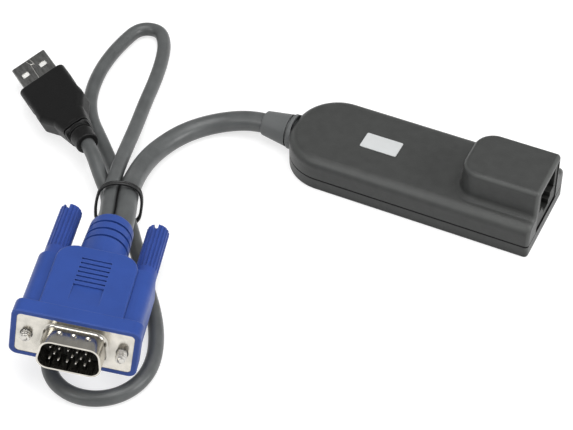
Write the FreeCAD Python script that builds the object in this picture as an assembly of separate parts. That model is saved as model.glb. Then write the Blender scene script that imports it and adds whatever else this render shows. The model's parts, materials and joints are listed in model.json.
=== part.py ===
import FreeCAD, Part
import math
import os

# Interface adapter that joins a computer's video and USB ports to a network-cable KVM switch.
# A flat dongle case with a raised RJ45 socket block, a thick trunk cable to a moulded DE-15 video plug,
# and a thin cable that runs on from the video plug to a USB-A plug. A wire tie holds the bundle.
# Millimetres. Origin: middle of the case's flat underside. +X: along the case to the socket. +Z: up.
# Each plug is drawn in a frame of its own, +X out of its mouth and +Z out of its top, then laid in place.

Vec = FreeCAD.Vector

# ---------------------------------------------------------------- case
CASE_LENGTH = 78.9
CASE_WIDTH = 29.2
DECK_Z = 11.3                 # top of the low part
BLOCK_Z = 20.4                # top of the socket block
PARTING_Z = 4.2               # line between the two shells
PARTING_GAP = 0.3             # shadow groove along that line
CASE_WALL = 1.8
CABLE_END_FLAT = 1.3          # half of the short straight stretch across the cable end
CABLE_END_R = CASE_WIDTH / 2 - CABLE_END_FLAT   # corners seen from above, cable end
SOCKET_END_R = 1.2            # round all along the outline of the socket end
DECK_EDGE_R = 3.0
UNDER_EDGE = 0.7
BLOCK_LENGTH = 24.0
BLOCK_WIDTH = 18.7            # at its top
BLOCK_DRAFT = 3.0             # degrees each side leans out towards its foot
BLOCK_END_R = 6.0
BLOCK_EDGE_R = 1.5
FOOT_MARGIN = 0.6             # flat left between the block's foot and the deck's rolled edge
FOOT_R = (CASE_WIDTH - BLOCK_WIDTH) / 2 - DECK_EDGE_R - FOOT_MARGIN   # hollow fillet at the foot
LIP_HEIGHT = 0.7              # tongue of the lower shell inside the upper one
LIP_CLEAR = 0.1

# ---------------------------------------------------------------- inside the case
BOARD_CLEAR = 0.4
BOARD_LENGTH = CASE_LENGTH - CASE_WALL - BOARD_CLEAR - CABLE_END_R   # stops where the end rounds off
BOARD_THICK = 1.6
BOARD_Z = 3.4
POST_R = 1.8
POST_INSET = 5.0
CHIP = (12.0, 12.0, 1.4)
CHIP_X = -6.0
MAGNETICS = (12.5, 9.5, 3.2)
MAGNETICS_X = 10.5
HEADER = (5.0, 11.0, 3.0)
HEADER_INSET = 2.4            # from the board's end to the header
JACK_WIDTH = 15.9
JACK_HEIGHT = 13.3
JACK_DEPTH = 16.0
JACK_RECESS = 0.3
JACK_CLEAR = 0.1
CAVITY_WIDTH = 11.8
CAVITY_HEIGHT = 7.0
CAVITY_DEPTH = 13.0
LATCH_STEPS = ((6.4, 1.7), (4.0, 1.7))   # width and drop of each step of the latch way
CAVITY_TOP_WALL = 1.1
CONTACT_PITCH = 1.02
CONTACT_COUNT = 8
CONTACT_WIRE = 0.45

# ---------------------------------------------------------------- badge
BADGE_LENGTH = 11.4
BADGE_WIDTH = 6.2
BADGE_THICK = 0.5
BADGE_PROUD = 0.15
BADGE_X = -11.6
BADGE_R = 0.5

# ---------------------------------------------------------------- strain relief and cables
TRUNK_DIA = 6.1
THIN_DIA = 4.3
RELIEF_Z = 5.5
RELIEF_LENGTH = 10.0
RELIEF_ROOT_R = 5.0
RELIEF_TIP_R = 3.75
RELIEF_COLLAR_R = 5.4
RELIEF_COLLAR = 1.2
RELIEF_NECK_R = 4.0
RELIEF_CLEAR = 0.1            # round the neck and behind the collar
ANCHOR_WIDTH = 10.0
ANCHOR_HEIGHT = 6.8
ANCHOR_THICK = 1.6
ANCHOR_CLEAR = 0.1
CORD_SEAT = 4.0               # how far a cable reaches into its gland

# ---------------------------------------------------------------- video plug, its own frame
VGA_AT = Vec(-50.0, -108.0, 17.9)
VGA_TURN = (-71.2, -7.6, -9.1)          # yaw, pitch, roll in degrees
PLATE_WIDTH = 30.5
PLATE_HEIGHT = 12.7
PLATE_THICK = 0.8
PLATE_R = 1.2
SCREW_SPAN = 24.99
PLATE_HOLE_R = 1.65
DEE_WIDTH = 16.92             # inside of the plug's shell, wide side
DEE_HEIGHT = 8.36
DEE_SLOPE = 10.0
DEE_R = 2.6
DEE_WALL = 0.5
DEE_REACH = 6.2
DEE_ROOT_R = 0.8
DIMPLE_R = 1.3
DIMPLE_DEEP = 0.3
DIMPLE_PITCH = 3.7
PIN_R = 0.38
PIN_PITCH = 2.29
PIN_ROW = 1.98
PIN_REACH = 5.2
INSERT_FACE = 0.6
FLANGE_DEPTH = 4.9
FLANGE_WIDTH = 33.6
FLANGE_HEIGHT = 15.4
FLANGE_R = 2.2
RIM = 0.15                    # how far the flange stands in front of the plate
HOOD_LENGTH = 29.5
HOOD_WIDTH = 31.5             # across the top of the two lobes
LOBE_HEIGHT = 12.6
LOBE_LENGTH = 26.8
LOBE_R = 3.2
LOBE_DRAFT = 4.0              # degrees each flank leans out towards the underside
PANEL_WIDTH = 22.0
PANEL_HEIGHT = 15.0
PANEL_R = 5.5
RIB_COUNT = 7
RIB_PITCH = 1.78
RIB_FIRST_X = -24.4
RIB_LENGTH = 8.1
RIB_CUT = 0.7
RIB_DEEP = 0.45
RECESS_END_X = -7.0
BOOT_LENGTH = 17.5
BOOT_ROOT_R = 6.9
BOOT_TIP_R = 6.2
BOOT_RINGS = 3
BOOT_RING_PITCH = 3.3
BOOT_RING_CUT = 0.9
BOOT_RING_DEEP = 0.6
BOOT_TRUNK_Y = 2.6
BACK_SHELL_DEPTH = 9.0
BACK_SHELL_WALL = 0.4

# ---------------------------------------------------------------- captive thumbscrews
KNOB_R = 3.15
KNOB_END_X = -50.4
KNOB_RIB_X = -32.0            # ribs run from here to the end
KNOB_FRONT_X = -14.0
KNOB_RIBS = 18
KNOB_RIB_DEEP = 0.28
KNOB_CLEAR = 0.2
KNOB_BORE = 12.0              # how far the screw is pressed into the knob
SLOT_WIDTH = 1.4
SLOT_DEEP = 2.0
LEFT_SLOT_TURN = 24.0         # degrees each slot stands away from upright
RIGHT_SLOT_TURN = 15.0
SCREW_R = 1.42
SCREW_NECK_R = 1.05
SCREW_TIP_X = 3.0
WEB_FRONT_X = -2.9            # wall of the hood that keeps the screw captive
WEB_BACK_X = -6.0
WEB_BORE_R = 1.25
LEFT_FLOAT = 1.0              # the left screw has slid back in its bore

# ---------------------------------------------------------------- USB plug, its own frame
USB_AT = Vec(-117.6, -14.8, 7.17)
USB_TURN = (144.2, 3.7, -19.0)
USB_WIDTH = 12.0
USB_HEIGHT = 4.5
USB_REACH = 12.0
USB_WALL = 0.3
USB_INSIDE = 7.0              # how far the shell runs into the moulding
LATCH_HOLE = 2.4
LATCH_HOLE_X = 6.5
LATCH_HOLE_Y = 3.15
TONGUE_HEIGHT = 1.84
TONGUE_LENGTH = 11.4
USB_CONTACT_Y = (-3.5, -1.0, 1.0, 3.5)
USB_CONTACT = (1.0, 0.25)
MOULD_WIDTH = 15.9
MOULD_HEIGHT = 7.4
MOULD_LENGTH = 15.6           # full-width part
SHOULDER_LENGTH = 5.2
NECK_WIDTH = 10.4
NECK_LENGTH = 7.2
USB_TIP_R = 3.45
USB_RELIEF_END = 33.2
MOULD_EDGE_R = 1.8
SCOOP_R = 16.0                # hollow in each side of the grip
SCOOP_DEEP = 0.5
SCOOP_X = -9.5

# ---------------------------------------------------------------- tie
TIE_WIRE_R = 0.42
TIE_AT = Vec(-70.9, -50.8, 7.0)
TIE_TURN = (-63.2, -18.0, -9.0)
TIE_SHAPE = (                 # across and up, the loop the wire makes round the bundle
    (6.5, -0.7), (6.4, 2.6), (5.35, 5.6), (2.4, 6.95), (-0.6, 7.05), (-3.5, 6.5), (-5.8, 4.5), (-6.45, 0.9),
    (-6.5, -2.3), (-6.1, -5.15), (-3.15, -6.17), (1.0, -6.15), (4.5, -5.65), (6.25, -3.6),
)
TIE_STEP = 0.9                # from one turn to the next, where they touch
TIE_SPREAD = 2.5              # degrees the turns open towards the other side


def box(x0, x1, y0, y1, z0, z1):
    """Block between two opposite corners."""
    return Part.makeBox(x1 - x0, y1 - y0, z1 - z0, Vec(x0, y0, z0))


def rod(radius, x0, x1, y=0.0, z=0.0):
    """Round bar along X."""
    return Part.makeCylinder(radius, x1 - x0, Vec(x0, y, z), Vec(1, 0, 0))


def taper(r0, r1, x0, x1, y=0.0, z=0.0):
    """Cone along X from radius r0 at x0 to r1 at x1."""
    return Part.makeCone(r0, r1, x1 - x0, Vec(x0, y, z), Vec(1, 0, 0))


def prism(corners, along):
    """Flat polygon pushed along a direction."""
    return Part.Face(Part.makePolygon(corners + corners[:1])).extrude(along)


def edges_where(shape, test):
    """Edges whose two ends and middle all pass a test on their points."""
    picked = []
    for edge in shape.Edges:
        middle = edge.valueAt((edge.FirstParameter + edge.LastParameter) / 2)
        points = [vertex.Point for vertex in edge.Vertexes] + [middle]
        if all(test(point) for point in points):
            picked.append(edge)
    return picked


def upright_edges(shape, x):
    """Vertical edges that stand at one x."""
    picked = []
    for edge in edges_where(shape, lambda p: abs(p.x - x) < 1e-4):
        span = edge.Vertexes[0].Point - edge.Vertexes[-1].Point
        if abs(span.z) > 0.1 and abs(span.y) < 1e-4:
            picked.append(edge)
    return picked


def case_prism(inset, z0, z1):
    """Plan outline of the case, moved in by a wall, between two heights; round at the cable end."""
    half_x = CASE_LENGTH / 2 - inset
    half_y = CASE_WIDTH / 2 - inset
    prism = box(-half_x, half_x, -half_y, half_y, z0, z1)
    return prism.makeFillet(CABLE_END_R - inset, upright_edges(prism, -half_x))


def block_outline(half_y, x0, x1, z):
    """Plan outline of the socket block: straight sides and end, round rear corners."""
    r = BLOCK_END_R
    cut = r * (1 - math.sqrt(0.5))
    places = [(x0, r - half_y), (x0, half_y - r), (x0 + cut, half_y - cut), (x0 + r, half_y),
              (x1, half_y), (x1, -half_y), (x0 + r, -half_y), (x0 + cut, cut - half_y)]
    p = [Vec(x, y, z) for x, y in places]
    edges = [
        Part.LineSegment(p[0], p[1]), Part.Arc(p[1], p[2], p[3]), Part.LineSegment(p[3], p[4]),
        Part.LineSegment(p[4], p[5]), Part.LineSegment(p[5], p[6]), Part.Arc(p[6], p[7], p[0]),
    ]
    return Part.Wire([edge.toShape() for edge in edges])


def block_body(x1):
    """Socket block with drafted sides and rear, from the middle of the deck's thickness to its top."""
    z0 = DECK_Z - 2
    spread = (BLOCK_Z - z0) * math.tan(math.radians(BLOCK_DRAFT))
    x0 = CASE_LENGTH / 2 - BLOCK_LENGTH
    low = block_outline(BLOCK_WIDTH / 2 + spread, x0 - spread, x1, z0)
    high = block_outline(BLOCK_WIDTH / 2, x0, x1, BLOCK_Z)
    return Part.makeLoft([low, high], True, True)


def end_wall_x(y):
    """Inside face of the round cable end, at a distance y from the middle line."""
    inner_r = CABLE_END_R - CASE_WALL
    over = max(0.0, y - CABLE_END_FLAT)
    return -CASE_LENGTH / 2 + CASE_WALL + inner_r - math.sqrt(inner_r ** 2 - over ** 2)


def jack_floor_z():
    """The jack stands on the board."""
    return BOARD_Z + BOARD_THICK + JACK_CLEAR


def jack_face_x():
    return CASE_LENGTH / 2 - JACK_RECESS


def relief_hole():
    """Way for the strain relief's neck through the cable end of both shells."""
    return rod(RELIEF_NECK_R, -CASE_LENGTH / 2 - 1, end_wall_x(RELIEF_NECK_R) + 1, z=RELIEF_Z)


def make_lower_case():
    """Tray with a rounded underside edge, posts for the board and a lip inside the parting line."""
    top = PARTING_Z - PARTING_GAP / 2
    end_x = CASE_LENGTH / 2
    shell = case_prism(0, 0, top)
    shell = shell.makeFillet(SOCKET_END_R, upright_edges(shell, end_x))
    shell = shell.makeFillet(UNDER_EDGE, edges_where(shell, lambda p: p.z < 1e-4))
    lip = case_prism(CASE_WALL / 2 + LIP_CLEAR, CASE_WALL, PARTING_Z + LIP_HEIGHT)
    shell = shell.fuse(lip).cut(case_prism(CASE_WALL, CASE_WALL, BLOCK_Z))
    for x, y in post_places():
        post = Part.makeCylinder(POST_R, BOARD_Z - CASE_WALL, Vec(x, y, CASE_WALL))
        pin = Part.makeCylinder(POST_R / 2, BOARD_Z + BOARD_THICK - CASE_WALL, Vec(x, y, CASE_WALL))
        shell = shell.fuse([post, pin])
    return shell.cut(relief_hole()).removeSplitter()


def make_upper_case():
    """Deck with rolled edges and the drafted socket block growing out of it on a hollow fillet."""
    bottom = PARTING_Z + PARTING_GAP / 2
    end_x = CASE_LENGTH / 2
    deck = case_prism(0, bottom, DECK_Z)
    rim = edges_where(deck, lambda p: abs(p.z - DECK_Z) < 1e-4)
    deck = deck.makeFillet(DECK_EDGE_R, [e for e in rim if e.BoundBox.XMin < end_x - 1e-4])
    shell = deck.fuse(block_body(end_x)).removeSplitter()
    foot = edges_where(shell, lambda p: abs(p.z - DECK_Z) < 1e-4 and abs(p.y) < BLOCK_WIDTH / 2 + 1.5)
    foot = [e for e in foot if e.BoundBox.XMin > end_x - BLOCK_LENGTH - 2 and e.BoundBox.XMin < end_x - 1e-4]
    shell = shell.makeFillet(FOOT_R, foot)
    top = edges_where(shell, lambda p: abs(p.z - BLOCK_Z) < 1e-4)
    shell = shell.makeFillet(BLOCK_EDGE_R, [e for e in top if e.BoundBox.XMin < end_x - 1e-4])
    outline = edges_where(shell, lambda p: abs(p.x - end_x) < 1e-4)
    shell = shell.makeFillet(SOCKET_END_R, [e for e in outline if e.BoundBox.ZMax > bottom + 1e-4])
    hollow = case_prism(CASE_WALL, 0, DECK_Z - CASE_WALL)
    rebate = case_prism(CASE_WALL / 2, 0, PARTING_Z + LIP_HEIGHT + LIP_CLEAR)
    half = JACK_WIDTH / 2 + JACK_CLEAR
    inner_x = end_x - CASE_WALL
    room = box(inner_x - JACK_DEPTH, end_x + 1, -half, half, 0, jack_floor_z() + JACK_HEIGHT + JACK_CLEAR)
    badge_seat = badge_block(DECK_Z + BADGE_PROUD - BADGE_THICK, DECK_Z + 1, 0.05)
    return shell.cut([hollow, rebate, room, relief_hole(), badge_seat]).removeSplitter()


def badge_block(z0, z1, grow):
    half_x = BADGE_LENGTH / 2 + grow
    half_y = BADGE_WIDTH / 2 + grow
    plate = box(BADGE_X - half_x, BADGE_X + half_x, -half_y, half_y, z0, z1)
    corners = upright_edges(plate, BADGE_X - half_x) + upright_edges(plate, BADGE_X + half_x)
    return plate.makeFillet(BADGE_R, corners)


def make_badge():
    """Bare plate let into the deck, with nothing written on it."""
    return badge_block(DECK_Z + BADGE_PROUD - BADGE_THICK, DECK_Z + BADGE_PROUD, 0)


def board_middle_x():
    return CASE_LENGTH / 2 - CASE_WALL - BOARD_CLEAR - BOARD_LENGTH / 2


def header_x():
    """Place of the cable header, next to the end of the board where the trunk cable comes in."""
    return board_middle_x() - BOARD_LENGTH / 2 + HEADER_INSET + HEADER[0] / 2


def post_places():
    """The four posts under the board's corners."""
    reach = BOARD_LENGTH / 2 - POST_INSET
    y = CASE_WIDTH / 2 - CASE_WALL - POST_INSET
    return [(board_middle_x() + n * reach, m * y) for n in (-1, 1) for m in (-1, 1)]


def make_board():
    """Circuit board on the four posts."""
    x0 = board_middle_x() - BOARD_LENGTH / 2
    half_y = CASE_WIDTH / 2 - CASE_WALL - BOARD_CLEAR
    board = box(x0, x0 + BOARD_LENGTH, -half_y, half_y, BOARD_Z, BOARD_Z + BOARD_THICK)
    for x, y in post_places():
        board = board.cut(Part.makeCylinder(POST_R / 2 + 0.05, 20, Vec(x, y, 0)))
    return board


def on_board(size, x):
    """A component standing on the board."""
    length, width, height = size
    z0 = BOARD_Z + BOARD_THICK
    return box(x - length / 2, x + length / 2, -width / 2, width / 2, z0, z0 + height)


def make_jack():
    """RJ45 housing, latch side down, with the stepped way for the plug's latch."""
    x1 = jack_face_x()
    z0 = jack_floor_z()
    z1 = z0 + JACK_HEIGHT
    housing = box(x1 - JACK_DEPTH, x1, -JACK_WIDTH / 2, JACK_WIDTH / 2, z0, z1)
    roof = z1 - CAVITY_TOP_WALL
    floor = roof - CAVITY_HEIGHT
    back = x1 - CAVITY_DEPTH
    cavity = box(back, x1 + 1, -CAVITY_WIDTH / 2, CAVITY_WIDTH / 2, floor, roof)
    for width, drop in LATCH_STEPS:
        cavity = cavity.fuse(box(back, x1 + 1, -width / 2, width / 2, floor - drop, floor))
        floor -= drop
    return housing.cut(cavity)


def make_jack_contacts():
    """Eight spring wires: level under the roof at the mouth, then sloping down to the back."""
    x1 = jack_face_x()
    roof = jack_floor_z() + JACK_HEIGHT - CAVITY_TOP_WALL
    back = x1 - CAVITY_DEPTH
    half = CONTACT_WIRE / 2
    profile = [
        Vec(back, 0, roof - 2.9), Vec(x1 - 3.6, 0, roof - 1.0), Vec(x1 - 3.0, 0, roof),
        Vec(x1 - 2.5, 0, roof), Vec(x1 - 3.2, 0, roof - 1.5), Vec(back, 0, roof - 3.4),
    ]
    wires = []
    for n in range(CONTACT_COUNT):
        y = (n - (CONTACT_COUNT - 1) / 2) * CONTACT_PITCH
        outline = [p + Vec(0, y - half, 0) for p in profile]
        wires.append(prism(outline, Vec(0, CONTACT_WIRE, 0)))
    return Part.makeCompound(wires)


def make_strain_relief():
    """Tapered grey boot with a collar against the case and an anchor plate inside it."""
    x0 = -CASE_LENGTH / 2
    tip = x0 - RELIEF_LENGTH
    collar_back = x0 - RELIEF_COLLAR
    relief = rod(RELIEF_COLLAR_R, collar_back, x0 + CASE_WALL, z=RELIEF_Z)
    back_edge = [e for e in relief.Edges if abs(e.BoundBox.XMax - collar_back) < 1e-4]
    relief = relief.makeFillet(0.4, back_edge)
    relief = relief.cut(case_prism(-RELIEF_CLEAR, -1, BLOCK_Z))
    relief = relief.fuse(rod(RELIEF_ROOT_R - 0.5, collar_back - 0.6, collar_back + 0.5, z=RELIEF_Z))
    cone = taper(RELIEF_TIP_R, RELIEF_ROOT_R, tip, collar_back - 0.6, z=RELIEF_Z)
    cone = cone.makeFillet(0.35, [e for e in cone.Edges if abs(e.BoundBox.XMax - tip) < 1e-4])
    relief = relief.fuse(cone)
    inside = end_wall_x(ANCHOR_WIDTH / 2) + ANCHOR_CLEAR
    relief = relief.fuse(rod(RELIEF_NECK_R - RELIEF_CLEAR, collar_back, inside, z=RELIEF_Z))
    relief = relief.fuse(box(inside, inside + ANCHOR_THICK, -ANCHOR_WIDTH / 2, ANCHOR_WIDTH / 2,
                             RELIEF_Z - ANCHOR_HEIGHT / 2, RELIEF_Z + ANCHOR_HEIGHT / 2))
    return relief.cut(rod(TRUNK_DIA / 2, tip - 1, tip + CORD_SEAT, z=RELIEF_Z)).removeSplitter()


# ================================================================ video plug
def dee_wire(x, grow=0.0):
    """D outline in the YZ plane, wide side down, every side moved out by grow, corners rounded."""
    slope = math.radians(DEE_SLOPE)
    half_h = DEE_HEIGHT / 2 + grow
    wide = DEE_WIDTH / 2 + grow / math.cos(slope) + grow * math.tan(slope)
    narrow = wide - 2 * half_h * math.tan(slope)
    corners = [Vec(x, y, z) for y, z in
               ((-wide, -half_h), (wide, -half_h), (narrow, half_h), (-narrow, half_h))]
    radius = DEE_R + grow
    edges = []
    cuts = []
    for n, corner in enumerate(corners):
        before = (corners[n - 1] - corner).normalize()
        after = (corners[(n + 1) % 4] - corner).normalize()
        half_turn = (math.pi - before.getAngle(after)) / 2
        reach = radius * math.tan(half_turn)
        inward = (before + after).normalize()
        bulge = corner + inward * (radius / math.cos(half_turn) - radius)
        cuts.append((corner + before * reach, bulge, corner + after * reach))
    for n, (start, bulge, end) in enumerate(cuts):
        edges.append(Part.Arc(start, bulge, end).toShape())
        edges.append(Part.LineSegment(end, cuts[(n + 1) % 4][0]).toShape())
    return Part.Wire(edges)


def dee_prism(x0, x1, grow=0.0):
    return Part.Face(dee_wire(x0, grow)).extrude(Vec(x1 - x0, 0, 0))


def face_plate(x0, x1, width, height, radius):
    """Upright plate with rounded corners seen from the front."""
    plate = box(x0, x1, -width / 2, width / 2, -height / 2, height / 2)
    long_edges = [e for e in plate.Edges if e.BoundBox.YLength < 1e-4 and e.BoundBox.ZLength < 1e-4]
    return plate.makeFillet(radius, long_edges)


def screw_sides():
    return (-SCREW_SPAN / 2, SCREW_SPAN / 2)


def make_vga_front_shell():
    """Drawn steel face: flat plate, D-shaped shroud with a rounded root and three dimples."""
    plate = face_plate(-PLATE_THICK, 0, PLATE_WIDTH, PLATE_HEIGHT, PLATE_R)
    shroud = dee_prism(-PLATE_THICK, DEE_REACH, DEE_WALL)
    shell = plate.fuse(shroud).removeSplitter()
    outline = dee_prism(-1, 1, DEE_WALL).BoundBox

    def on_root(p):
        inside = abs(p.y) < outline.YMax + 0.01 and abs(p.z) < outline.ZMax + 0.01
        return abs(p.x) < 1e-4 and inside

    shell = shell.makeFillet(DEE_ROOT_R, edges_where(shell, on_root))
    shell = shell.cut(dee_prism(-PLATE_THICK - 1, DEE_REACH + 1))
    top = DEE_HEIGHT / 2 + DEE_WALL
    for n in (-1, 0, 1):
        centre = Vec(2.6, n * DIMPLE_PITCH, top + DIMPLE_R - DIMPLE_DEEP)
        bump = Part.makeSphere(DIMPLE_R + 0.3, centre).common(dee_prism(0.5, DEE_REACH - 0.5, DEE_WALL / 2))
        shell = shell.fuse(bump).cut(Part.makeSphere(DIMPLE_R, centre))
    for y in screw_sides():
        shell = shell.cut(rod(PLATE_HOLE_R, -2, 2, y=y))
    return shell.removeSplitter()


def make_vga_back_shell():
    """Second plate and the box behind it that grips the insert."""
    front = -PLATE_THICK
    plate = face_plate(front - PLATE_THICK, front, PLATE_WIDTH, PLATE_HEIGHT, PLATE_R)
    can = dee_prism(front - BACK_SHELL_DEPTH, front, 2 * BACK_SHELL_WALL + 0.1)
    shell = plate.fuse(can).cut(dee_prism(front - BACK_SHELL_DEPTH - 1, front + 1, BACK_SHELL_WALL))
    for y in screw_sides():
        shell = shell.cut(rod(PLATE_HOLE_R, -5, 2, y=y))
    return shell


def make_vga_insert():
    """Black insulator that fills the D and the back shell behind it."""
    front = -PLATE_THICK
    insert = dee_prism(front, INSERT_FACE, -0.05)
    insert = insert.fuse(dee_prism(front - BACK_SHELL_DEPTH, front, BACK_SHELL_WALL - 0.05))
    for y, z in pin_places():
        insert = insert.cut(rod(PIN_R + 0.02, -20, 5, y=y, z=z))
    return insert


def pin_places():
    """Three rows of five, the middle row half a pitch across; the key place of the middle row is empty."""
    places = []
    for row in (1, 0, -1):
        shift = PIN_PITCH / 4 if row == 0 else -PIN_PITCH / 4
        for column in (-2, -1, 0, 1, 2):
            if row == 0 and column == -1:
                continue
            places.append((column * PIN_PITCH + shift, row * PIN_ROW))
    return places


def make_vga_pins():
    """Fourteen round contact pins with pointed tips."""
    back = -PLATE_THICK - BACK_SHELL_DEPTH - 1.0
    pins = []
    for y, z in pin_places():
        shank = rod(PIN_R, back, PIN_REACH - 0.5, y=y, z=z)
        point = taper(PIN_R, PIN_R / 2, PIN_REACH - 0.5, PIN_REACH, y=y, z=z)
        pins.append(shank.fuse(point))
    return Part.makeCompound(pins)


def make_lobe(side):
    """Rounded side of the hood round one thumbscrew, its flank leaning out towards the underside."""
    y0 = PANEL_WIDTH / 2 - LOBE_R
    half = LOBE_HEIGHT / 2
    top = HOOD_WIDTH / 2
    foot = top + LOBE_HEIGHT * math.tan(math.radians(LOBE_DRAFT))
    back = -LOBE_LENGTH
    outline = [Vec(back, y0, half), Vec(back, top, half), Vec(back, foot, -half), Vec(back, y0, -half)]
    lobe = prism(outline, Vec(LOBE_LENGTH - FLANGE_DEPTH + 1, 0, 0))
    outer = [e for e in lobe.Edges if e.BoundBox.YMin > top - 1e-4 and e.BoundBox.XLength > 1]
    lobe = lobe.makeFillet(LOBE_R, outer)
    rear = edges_where(lobe, lambda p: abs(p.x - back) < 1e-4 and p.y > y0 + 0.01)
    lobe = lobe.makeChamfer(0.9, rear)
    if side < 0:
        return lobe.mirror(Vec(0, 0, 0), Vec(0, 1, 0))
    return lobe


def make_vga_hood():
    """Blue over-moulding: flange, two screw lobes, raised panel with grip ribs, ringed cable boot."""
    flange = face_plate(-FLANGE_DEPTH, RIM, FLANGE_WIDTH, FLANGE_HEIGHT, FLANGE_R)
    flange = flange.makeFillet(0.6, edges_where(flange, lambda p: abs(p.x + FLANGE_DEPTH) < 1e-4))
    flange = flange.makeChamfer(0.25, edges_where(flange, lambda p: abs(p.x - RIM) < 1e-4))
    half_w = PANEL_WIDTH / 2
    half_h = PANEL_HEIGHT / 2
    panel = box(-HOOD_LENGTH, -FLANGE_DEPTH + 1, -half_w, half_w, -half_h, half_h)
    panel = panel.makeFillet(PANEL_R, upright_edges(panel, -HOOD_LENGTH))

    def on_panel_rim(p):
        on_face = abs(abs(p.z) - half_h) < 1e-4
        return on_face and (p.x < -HOOD_LENGTH + PANEL_R + 0.01 or abs(p.y) > half_w - 0.01)

    rim = [e for e in edges_where(panel, on_panel_rim) if e.BoundBox.XMin < -FLANGE_DEPTH]
    panel = panel.makeFillet(0.7, rim)
    hood = flange.fuse([panel, make_lobe(1), make_lobe(-1), make_boot()]).removeSplitter()
    hood = hood.cut(grip_cuts())
    hood = hood.cut(face_plate(-2 * PLATE_THICK, RIM + 1, PLATE_WIDTH + 0.1, PLATE_HEIGHT + 0.1, PLATE_R))
    hood = hood.cut(dee_prism(-PLATE_THICK - BACK_SHELL_DEPTH - 1.1, 0, 2 * BACK_SHELL_WALL + 0.15))
    for y in screw_sides():
        hood = hood.cut(rod(KNOB_R + KNOB_CLEAR, -HOOD_LENGTH - 1, WEB_BACK_X - 2, y=y))
        hood = hood.cut(rod(SCREW_R + KNOB_CLEAR, WEB_BACK_X - 3, WEB_BACK_X, y=y))
        hood = hood.cut(rod(WEB_BORE_R, WEB_BACK_X - 1, 0, y=y))
        hood = hood.cut(rod(SCREW_R + KNOB_CLEAR, WEB_FRONT_X, 0, y=y))
    seat_x = -HOOD_LENGTH - BOOT_LENGTH
    hood = hood.cut(rod(TRUNK_DIA / 2, seat_x - 1, seat_x + CORD_SEAT, y=BOOT_TRUNK_Y))
    return hood.cut(rod(THIN_DIA / 2, seat_x - 1, seat_x + CORD_SEAT, y=boot_thin_y())).removeSplitter()


def boot_thin_y():
    """The thin cable lies against the trunk inside the boot."""
    return BOOT_TRUNK_Y - TRUNK_DIA / 2 - THIN_DIA / 2 - 0.05


def make_boot():
    """Neck for the two cables, with three ring grooves."""
    root = -HOOD_LENGTH
    tip = root - BOOT_LENGTH
    boot = taper(BOOT_TIP_R, BOOT_ROOT_R, tip, root + 1.5)
    boot = boot.makeFillet(0.8, [e for e in boot.Edges if abs(e.BoundBox.XMax - tip) < 1e-4])
    for n in range(BOOT_RINGS):
        x = tip + BOOT_RING_PITCH * (n + 1)
        groove = rod(BOOT_ROOT_R + 1, x, x + BOOT_RING_CUT)
        core = rod(BOOT_TIP_R - BOOT_RING_DEEP + 0.12 * n, x - 1, x + 2)
        boot = boot.cut(groove.cut(core))
    return boot


def grip_cuts():
    """Finger grooves across the panel, the last opening into a recess that fades out to the front."""
    top = PANEL_HEIGHT / 2
    half = RIB_LENGTH / 2
    cuts = []
    for n in range(RIB_COUNT):
        x = RIB_FIRST_X + n * RIB_PITCH
        cuts.append(box(x - RIB_CUT / 2, x + RIB_CUT / 2, -half, half, top - RIB_DEEP, top + 1))
    start = RIB_FIRST_X + (RIB_COUNT - 1) * RIB_PITCH
    wedge = [Vec(start, -half, top - RIB_DEEP), Vec(RECESS_END_X, -half, top), Vec(start, -half, top)]
    cuts.append(prism(wedge, Vec(0, RIB_LENGTH, 0)))
    return cuts


def make_knob(y, slide, slot_turn):
    """Ribbed thumb grip with a screwdriver slot in its end and a smooth front inside the hood."""
    end = KNOB_END_X - slide
    front = KNOB_FRONT_X - slide
    knob = rod(KNOB_R, end, front, y=y)
    knob = knob.makeChamfer(0.5, [e for e in knob.Edges if abs(e.BoundBox.XMax - end) < 1e-4])
    groove_r = 0.36
    grooves = []
    for n in range(KNOB_RIBS):
        angle = 2 * math.pi * n / KNOB_RIBS
        reach = KNOB_R - KNOB_RIB_DEEP + groove_r
        grooves.append(rod(groove_r, end - 1, KNOB_RIB_X - slide, y=y + reach * math.cos(angle),
                           z=reach * math.sin(angle)))
    knob = knob.cut(grooves)
    half = SLOT_WIDTH / 2
    slot = box(end - 1, end + SLOT_DEEP, y - half, y + half, -KNOB_R - 1, KNOB_R + 1)
    slot.rotate(Vec(0, y, 0), Vec(1, 0, 0), slot_turn)
    bore = rod(SCREW_R, front - KNOB_BORE, front + 1, y=y)
    return knob.cut([slot, bore])


def make_jackscrew(y, slide):
    """Steel screw in the knob: shank, thin neck through the hood's web, thread with a pointed end."""
    neck_back = WEB_BACK_X - 0.6 - slide
    neck_front = WEB_FRONT_X + LEFT_FLOAT + 0.1 - slide
    tip = SCREW_TIP_X - slide
    screw = rod(SCREW_R, KNOB_FRONT_X - KNOB_BORE - slide, neck_back, y=y)
    screw = screw.fuse(rod(SCREW_NECK_R, neck_back, neck_front, y=y))
    screw = screw.fuse(rod(SCREW_R, neck_front, tip - 0.6, y=y))
    return screw.fuse(taper(SCREW_R, SCREW_R - 0.5, tip - 0.6, tip, y=y)).removeSplitter()


# ================================================================ USB plug
def shell_tube(grow, x0, x1):
    """Flat tube outline of the USB shell, rounded corners."""
    return face_plate(x0, x1, USB_WIDTH + 2 * grow, USB_HEIGHT + 2 * grow, max(0.6 + grow, 0.2))


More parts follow.
